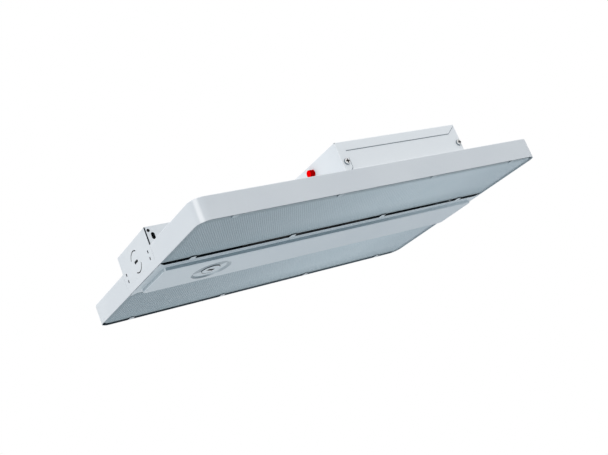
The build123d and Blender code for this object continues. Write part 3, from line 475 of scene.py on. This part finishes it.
# Painted light: the flange is painted as light as the coat can be, and the tray painted lighter towards its
# left
def cover_painted_light(at):
    return at.z.above(FLANGE_FROM).most(1.0 - at.x.ramp(-0.30, 0.12))


# Painted shade on the tray's end walls
def tray_ends(at):
    wall = at.z.between(*TRAY_END_ZS) * at.x.size().above(TRAY_END_X) * at.facing_z.size().below(0.8)
    return wall * 0.55


# Distance from the middle of the sensor's dish, and the direction to the right and to the far side of it
def round_dish(at):
    along = at.x - SENSOR_X
    across = at.y - SENSOR_Y
    reach = distance(along, across)
    return reach, along / reach.most(0.001), across / reach.most(0.001)


# Painted shade: the dish is darker on its floor's near side, by the slope at its right and most on the far
# slope
def dish_painted_shade(at):
    reach, right, far = round_dish(at)
    near = -(right * VIEW_TURN[0] + far * VIEW_TURN[1])
    near_floor = reach.ramp(*DISH_FLOOR_RAMP) * reach.below(DISH_FLOOR_R) * near.ramp(0.0, 0.30) * 0.66
    right_slope = reach.ramp(*DISH_RIGHT_RAMP) * reach.below(DISH_R) * right.ramp(0.60, 0.90) * 0.45
    far_slope = reach.between(DISH_SLOPE_R, DISH_R) * far.ramp(0.22, 0.50) * (-right).ramp(-0.65, 0.0) * 0.95
    return near_floor.most(right_slope).most(far_slope) * at.z.below(DISH_TOP)


# Painted highlight: a bright line round the far side of the dish
def dish_painted_highlight(at):
    reach, right, far = round_dish(at)
    return reach.between(DISH_R, DISH_LIGHT_R) * far.ramp(0.3, 0.8) * at.z.below(DISH_TOP)


# Painted shade in the sensor knockout's arcs and its slot
def sensor_cuts(at):
    along = at.x - SENSOR_X
    across = at.y - SENSOR_Y
    cosine, sine = SENSOR_SLOT_TURN
    slot_along = along * cosine + across * sine
    slot_across = (at.y - SENSOR_SLOT_Y) * cosine - along * sine
    arcs = knockout_arcs(along, across, SENSOR_R, SENSOR_START, SENSOR_HALF_LINE)
    return arcs.most(patch(slot_along, slot_across, SENSOR_SLOT)) * at.z.below(SENSOR_TOP)


# Painted shadow: a dark line on the battery box under the lid's front lip, down its chamfer and round the
# foot of its ear
def lid_seam_painted_shadow(at):
    foot = distance((at.x - EAR_CENTRE[0]).most(0.0), (EAR_CENTRE[1] - at.z).most(0.0))
    ear = (foot - EAR_SEAM_R).size().below(EAR_HALF_SEAM) * at.z.below(EAR_TOP)
    level = (at.z - LIP_SEAM_Z).size().below(LIP_HALF_SEAM) * at.x.below(LIP_CHAMFER_X)
    fall, run = LIP_CHAMFER_TURN
    chamfer = (at.x - LIP_CHAMFER_X) * fall - (at.z - LIP_EDGE) * run - LIP_CHAMFER_SHIFT
    slope = chamfer.size().below(LIP_HALF_SEAM) * at.x.between(LIP_CHAMFER_X, LIP_END_X)
    return at.y.below(BOX_FRONT_Y + BOX_FRONT_DEPTH) * level.most(slope).most(ear)


# Painted light: the box's front faces are painted lighter than the rest of its coat
def box_front_painted_light(at):
    return at.facing_y.below(-0.5)


# Painted shade in the small relief hole where the lid's three bends meet
def lid_relief(at):
    aside, ahead, up = at.x - BOX_LEFT, at.y - BOX_FRONT_Y, at.z - BOX_TOP
    return (aside * aside + ahead * ahead + up * up).below(RELIEF_R * RELIEF_R)


# How far a point is along and up from the middle of the nearer of the lid's two screws
def from_lid_screw(at):
    return nearest(at.x, LID_SCREW_XS), (at.z - LID_SCREW_Z).size()


# Painted shade in the cross recess of each lid screw
def lid_screw_cross(at):
    along, up = from_lid_screw(at)
    narrow, long = LID_SCREW_CROSS
    cross = (along.below(narrow) * up.below(long)).most(along.below(long) * up.below(narrow))
    return cross * at.y.below(LID_SCREW_FACE_Y)


# Painted shade round the edge of each lid screw's head
def lid_screw_rim_painted_shade(at):
    return distance(*from_lid_screw(at)).above(LID_SCREW_RIM)


# Painted shadow: a dark line on a lens round the tip of each tab that holds it by the cover
def tab_painted_shadow(at):
    return nearest(at.x.size(), TAB_XS).below(TAB_HALF_WIDTH) * at.y.size().below(TAB_TIP_Y)


# Frosted lens sheet: a cool grey white, with painted shade by its edges, along its far side, towards its
# right end and in the valleys between the prisms at its left.
def frosted_sheet():
    def colour(at):
        inside_y = LENS_HALF_Y - (at.y.size() - LENS_MIDDLE_Y).size()
        edge = inside_y.least(LENS_END_X - at.x.size()).ramp(*LENS_EDGE_REACH)
        near_lens, far_lens = LENS_FAR_EDGES
        to_far_side = at.y.above(0.0) * (far_lens - near_lens) + near_lens - at.y
        valley = at.z.ramp(*VALLEY_ZS) * (1.0 - at.x.ramp(-0.27, 0.12))
        sheet = at.mix(at.noise(14.0, 2.0).ramp(0.3, 0.7), *LENS_TONES)
        sheet = at.mix(at.x.ramp(0.15, 0.28), sheet, LENS_RIGHT_PAINTED_SHADE)
        sheet = at.mix(valley, sheet, LENS_VALLEY_PAINTED_SHADE)
        sheet = at.mix((1.0 - to_far_side.ramp(0.0, LENS_FAR_REACH)) * 0.60, sheet, LENS_FAR_SIDE_PAINTED_SHADE)
        return at.mix(tab_painted_shadow(at), at.mix(edge, LENS_EDGE_PAINTED_SHADE, sheet), DARK_PAINTED_SHADE)

    grain = (fine_grain(1600.0), 0.00003, 0.4)
    return finish("frosted_sheet", colour, (300.0, 0.12, 0.40), grain, Specular_IOR_Level=0.4)


# Painted shade: the driver's lower face, which sees only the dark inside of the light, is painted near black
def driver_under_painted_shade(at):
    return at.facing_z.below(-0.5)


# Bright zinc plate on screws, rivets and cases
def zinc_plate(name, one, two, rough, layers=()):
    def colour(at):
        return painted(at, speckled(at, 420.0, (one, two)), layers)

    return finish(name, colour, (900.0, 0.16, rough), (fine_grain(2400.0), 0.00002, 0.5), Metallic=1.0)


# Painted shade: the button's round side is painted a deeper red than its face
def button_side_painted_shade(at):
    return at.facing_x.above(-0.6)


def moulded(name, one, two, rough, grain=1400.0, shine=0.5, layers=()):
    def colour(at):
        return painted(at, speckled(at, 160.0, (one, two)), layers)

    return finish(name, colour, (500.0, 0.12, rough), (fine_grain(grain), 0.00003, 0.4),
                  Specular_IOR_Level=shine)


# Circuit board: white solder mask with faint tracks under it
def board_mask():
    def colour(at):
        track = (at.y * TRACK_WAVE).maths("SINE").size().ramp(0.96, 0.985)
        mask = at.mix(track, (0.86, 0.865, 0.85), (0.79, 0.80, 0.78))
        return at.mix(at.noise(40.0).ramp(0.3, 0.7), mask, (0.84, 0.85, 0.835))

    return finish("board_mask_white", colour, (200.0, 0.1, 0.32))


# LED package: yellow phosphor in a white cup
def phosphor():
    def colour(at):
        yellow = speckled(at, 900.0, ((0.86, 0.66, 0.10), (0.90, 0.72, 0.16)))
        return at.mix(at.z.ramp(*PHOSPHOR_LEVELS), yellow, (0.85, 0.85, 0.83))

    return finish("led_phosphor", colour, (700.0, 0.1, 0.3))


# Finishes by the record's material slots. The white steel sheets have coats of their own.
def build_finishes():
    return {
        "frosted_lens": frosted_sheet(),
        "rivet": zinc_plate("rivet_metal", (0.62, 0.62, 0.63), (0.70, 0.70, 0.71), 0.32),
        "zinc_screw": zinc_plate("zinc_plate", (0.60, 0.61, 0.62), (0.74, 0.74, 0.73), 0.24),
        "strap_steel": zinc_plate("strap_metal", (0.45, 0.46, 0.47), (0.55, 0.55, 0.56), 0.34),
        "driver_case": zinc_plate("case_metal", (0.60, 0.61, 0.62), (0.66, 0.67, 0.68), 0.38,
                                  [(driver_under_painted_shade, (0.03, 0.03, 0.03))]),
        "board": board_mask(),
        "led": phosphor(),
        "terminal": moulded("terminal_body", (0.70, 0.66, 0.55), (0.76, 0.72, 0.62), 0.45),
        "ground_green": moulded("ground_paint", (0.02, 0.28, 0.06), (0.03, 0.33, 0.08), 0.35),
        "battery_wrap": moulded("shrink_wrap", (0.03, 0.10, 0.24), (0.04, 0.12, 0.28), 0.28, 300.0),
        "black_plastic": moulded("black_moulding", (0.012, 0.012, 0.013), (0.02, 0.02, 0.021), 0.5),
        "red_plastic": moulded("red_moulding", (0.88, 0.0, 0.0), (0.94, 0.0, 0.001), 0.58, 900.0, 0.0,
                               [(button_side_painted_shade, (0.40, 0.0, 0.0))]),
    }


def build_coats():
    pan = [(corner_painted_sheen, PAINTED_HIGHLIGHT), (pan_inside, inside_painted_light_and_shade), (pan_end_inside, END_PAINTED_LIGHT),
           (pan_far_inside, far_wall_painted_shade), (pan_near_tabs, near_tab_painted_shade)]
    channel = [(channel_inside, inside_painted_light_and_shade), (channel_cuts, CUT_PAINTED_SHADE)]
    cover = [(cover_painted_light, COVER_PAINTED_LIGHT), (cover_walls, TRAY_WALL_PAINTED_SHADE), (tray_ends, TRAY_WALL_PAINTED_SHADE),
             (dish_painted_highlight, PAINTED_HIGHLIGHT), (dish_painted_shade, DISH_PAINTED_SHADE), (cover_inside, inside_painted_light_and_shade),
             (sensor_cuts, CUT_PAINTED_SHADE)]
    return {
        "housing_pan": powder_coat("powder_coat_pan", pan),
        "wireway_channel": powder_coat("powder_coat_channel", channel),
        "center_cover": powder_coat("powder_coat_cover", cover, COVER_COAT_PAINTED_LIGHT),
        "battery_box_body": powder_coat("powder_coat_box", [(box_front_painted_light, BOX_FRONT_PAINTED_LIGHT), (lid_seam_painted_shadow, PAINTED_SHADOW_LINE)]),
        "battery_box_lid": powder_coat("powder_coat_lid", [(box_front_painted_light, BOX_FRONT_PAINTED_LIGHT), (lid_relief, CUT_PAINTED_SHADE)]),
        "lid_screws": zinc_plate("lid_screw_plate", (0.66, 0.67, 0.68), (0.80, 0.80, 0.79), 0.24,
                                 [(lid_screw_cross, CUT_PAINTED_SHADE), (lid_screw_rim_painted_shade, PAINTED_SHADOW_LINE)]),
    }


# A node takes its own coat, or else the finish of its slot
def dress(finishes, coats):
    for part in frame["record"]["subparts"]:
        mesh = nodes[part["node"]].data
        mesh.materials.clear()
        mesh.materials.append(coats.get(part["node"]) or finishes[part["material_slot"]])


# The lens sheets: a plain sheet with rows of shallow six-sided prisms over its whole underside.
# Points are set out row by row, every other row half a pitch along, and trimmed to the sheet's outline.
def prism_tree(material):
    group = bpy.data.node_groups.new("prism_sheet", "GeometryNodeTree")
    for direction in ("INPUT", "OUTPUT"):
        group.interface.new_socket("Geometry", in_out=direction, socket_type="NodeSocketGeometry")
    for name in ("Length", "Width", "Pitch", "Depth", "Underside", "Middle", "Corner"):
        group.interface.new_socket(name, in_out="INPUT", socket_type="NodeSocketFloat")
    for name in ("Columns", "Rows"):
        group.interface.new_socket(name, in_out="INPUT", socket_type="NodeSocketInt")
    tree = Tree(group)
    given = {socket.name: Field(tree, socket) for socket in tree.nodes.new("NodeGroupInput").outputs}
    pitch, corner = given["Pitch"], given["Corner"]

    def vector(*values):
        return tree.node("ShaderNodeCombineXYZ", {}, *values)

    def line(count, start, offset):
        return tree.node("GeometryNodeMeshLine", {"mode": "OFFSET"}, Count=count, Start_Location=start,
                         Offset=offset)

    row_pitch = pitch * PRISM_ROW_SHARE
    row_start = -((given["Rows"] - 1.0) * 0.5 * row_pitch)
    column_start = -((given["Columns"] - 1.0) * 0.5 * pitch)
    rows = line(given["Rows"], vector(0.0, row_start), vector(0.0, row_pitch))
    columns = line(given["Columns"], vector(column_start), vector(pitch))
    odd_row = tree.node("GeometryNodeInputIndex", {}).maths("MODULO", 2.0)
    shift = vector((odd_row - 0.5) * (pitch * 0.5))
    stagger = tree.node("GeometryNodeSetPosition", {}, Geometry=rows, Offset=shift)
    spread = tree.node("GeometryNodeInstanceOnPoints", {}, Points=stagger, Instance=columns)
    points = tree.node("GeometryNodeRealizeInstances", {}, spread)

    x, y, z = tree.axes(tree.node("GeometryNodeInputPosition", {}))
    radius = pitch / math.sqrt(3.0)
    half_x = given["Length"] * 0.5 - corner - radius
    half_y = given["Width"] * 0.5 - corner - radius
    over_x = (x.size() - half_x).most(0.0)
    over_y = (y - half_y).most(0.0)
    beyond_corner = (over_x ** 2.0 + over_y ** 2.0).maths("SQRT").above(corner)
    beyond_x = x.size().above(half_x + corner)
    beyond_y = y.below(-(half_y + corner))
    beyond = beyond_corner.most(beyond_x.most(beyond_y))
    trimmed = tree.node("GeometryNodeDeleteGeometry", {"domain": "POINT"}, points, beyond)

    prism = tree.node("GeometryNodeMeshCone", {"fill_type": "NONE"}, Vertices=6, Radius_Top=0.0,
                      Radius_Bottom=radius, Depth=given["Depth"])
    point_down = (math.pi, 0.0, math.radians(30.0))
    lattice = tree.node("GeometryNodeInstanceOnPoints", {}, Points=trimmed, Instance=prism,
                        Rotation=point_down)
    real = tree.node("GeometryNodeRealizeInstances", {}, lattice)
    weld = tree.node("GeometryNodeMergeByDistance", {}, real, Distance=PRISM_WELD)
    place = vector(0.0, given["Middle"], given["Underside"])
    lower = tree.node("GeometryNodeTransform", {}, weld, Translation=place)
    join = tree.node("GeometryNodeJoinGeometry", {}, lower)
    tree.feed(join.socket.node.inputs[0], given["Geometry"])
    paint = tree.node("GeometryNodeSetMaterial", {}, join, Material=material)
    tree.node("NodeGroupOutput", {}, paint)
    return group


# A plain sheet over the box from low to high, with square corners by the cover and round ones by the wall
def sheet_blank(name, low, high):
    half = (high.x - low.x) / 2
    outline = [(-half, low.y), (half, low.y)]
    middle_y = high.y - LENS_CORNER
    for middle_x, start in ((half - LENS_CORNER, 0.0), (LENS_CORNER - half, 90.0)):
        for step in range(CORNER_STEPS + 1):
            turn = math.radians(start + step * 90.0 / CORNER_STEPS)
            outline.append((middle_x + LENS_CORNER * math.cos(turn), middle_y + LENS_CORNER * math.sin(turn)))
    mesh = bmesh.new()
    bottom = [mesh.verts.new((x, y, low.z)) for x, y in outline]
    top = [mesh.verts.new((x, y, high.z)) for x, y in outline]
    mesh.faces.new(reversed(bottom))
    mesh.faces.new(top)
    for i in range(len(outline)):
        j = (i + 1) % len(outline)
        mesh.faces.new((bottom[i], bottom[j], top[j], top[i]))
    data = bpy.data.meshes.new(name)
    mesh.to_mesh(data)
    mesh.free()
    made = bpy.data.objects.new(name, data)
    scene.collection.objects.link(made)
    return made


# Turn an object with its modifiers into a plain mesh
def bake(made):
    graph = bpy.context.evaluated_depsgraph_get()
    graph.update()
    data = bpy.data.meshes.new_from_object(made.evaluated_get(graph))
    data.name = made.name
    made.modifiers.clear()
    made.data = data


def set_inputs(modifier, values):
    for item in modifier.node_group.interface.items_tree:
        if item.item_type == "SOCKET" and item.in_out == "INPUT" and item.name in values:
            modifier[item.identifier] = values[item.name]


# Both lenses are built on the far side, and the near one is then turned round to its own place
def lens_sheet(node, material, tree):
    low, high = [Vector(corner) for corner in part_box(node)]
    underside = low.z + PRISM_DEPTH
    width = high.y - low.y
    middle = abs(low.y + high.y) / 2
    blank_low = Vector((low.x, middle - width / 2, underside))
    blank_high = Vector((high.x, middle + width / 2, high.z))
    made = sheet_blank("prism_" + node, blank_low, blank_high)
    made.data.materials.append(material)
    length = high.x - low.x - 2 * PRISM_MARGIN
    across = width - 2 * PRISM_MARGIN
    modifier = made.modifiers.new("prisms", "NODES")
    modifier.node_group = tree
    set_inputs(modifier, {
        "Length": length, "Width": across, "Pitch": PRISM_PITCH, "Depth": PRISM_DEPTH - PRISM_TIP_ROOM,
        "Underside": underside, "Middle": middle, "Corner": LENS_CORNER - PRISM_MARGIN,
        "Columns": int(length / PRISM_PITCH) + 2, "Rows": int(across / (PRISM_PITCH * PRISM_ROW_SHARE)) + 1})
    bake(made)
    if low.y + high.y < 0:
        made.data.transform(Matrix.Rotation(math.pi, 4, "Z"))
    return made


# One where a ray shows the background itself and not the light that comes from it
def background_rays(tree):
    kinds = ("Is Camera Ray", "Is Glossy Ray", "Is Transmission Ray")
    seen, mirrored, passed = [tree.node("ShaderNodeLightPath", {}, out=kind) for kind in kinds]
    return seen.most(mirrored).most(passed)


def studio():
    mesh = bpy.data.meshes.new("floor")
    sides = ((-1, -1), (1, -1), (1, 1), (-1, 1))
    corners = [(x * FLOOR_REACH, y * FLOOR_REACH, FLOOR_LEVEL) for x, y in sides]
    mesh.from_pydata(corners, [], [(0, 1, 2, 3)])
    floor = bpy.data.objects.new("floor", mesh)
    scene.collection.objects.link(floor)
    material = bpy.data.materials.new("floor_pale")
    material.use_nodes = True
    tree = Tree(material.node_tree)
    colour = tree.mix(background_rays(tree), FLOOR_BOUNCE, FLOOR_TONE)
    shader = tree.node("ShaderNodeBsdfDiffuse", {}, Color=colour)
    tree.node("ShaderNodeOutputMaterial", {}, shader)
    mesh.materials.append(material)


# Soft light from all round, brightest from the side of the left end and dim from below
def sky():
    world = bpy.data.worlds.new("studio_light")
    scene.world = world
    world.use_nodes = True
    tree = Tree(world.node_tree)
    x, y, z = tree.axes(tree.node("ShaderNodeTexCoord", {}, out="Generated"))
    glow = tree.mix((-x).most(0.0) * SIDE_GLOW, SKY, tuple(2.0 * c for c in SKY))
    light = tree.mix(z.ramp(-0.02, 0.02), HORIZON_LOW, glow)
    colour = tree.mix(background_rays(tree), light, BACKGROUND)
    tree.node("ShaderNodeOutputWorld", {}, tree.node("ShaderNodeBackground", {}, Color=colour))


def camera():
    data = bpy.data.cameras.new("camera")
    data.sensor_width = FILM_WIDTH
    data.sensor_fit = "HORIZONTAL"
    data.lens = FOCAL_LENGTH
    data.clip_start = 0.01
    data.clip_end = 50.0
    view = bpy.data.objects.new("camera", data)
    scene.collection.objects.link(view)
    turn = Matrix((EYE_RIGHT, -EYE_DOWN, -EYE_AHEAD)).transposed().to_4x4()
    view.matrix_world = Matrix.Translation(EYE) @ turn
    scene.camera = view


finishes = build_finishes()
dress(finishes, build_coats())
prisms = prism_tree(finishes["frosted_lens"])
for lens_node in ("lens_near", "lens_far"):
    sheet = lens_sheet(lens_node, finishes["frosted_lens"], prisms)
    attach(sheet, "light")
    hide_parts(lens_node)
studio()
sky()
camera()
scene.view_settings.view_transform = "Standard"
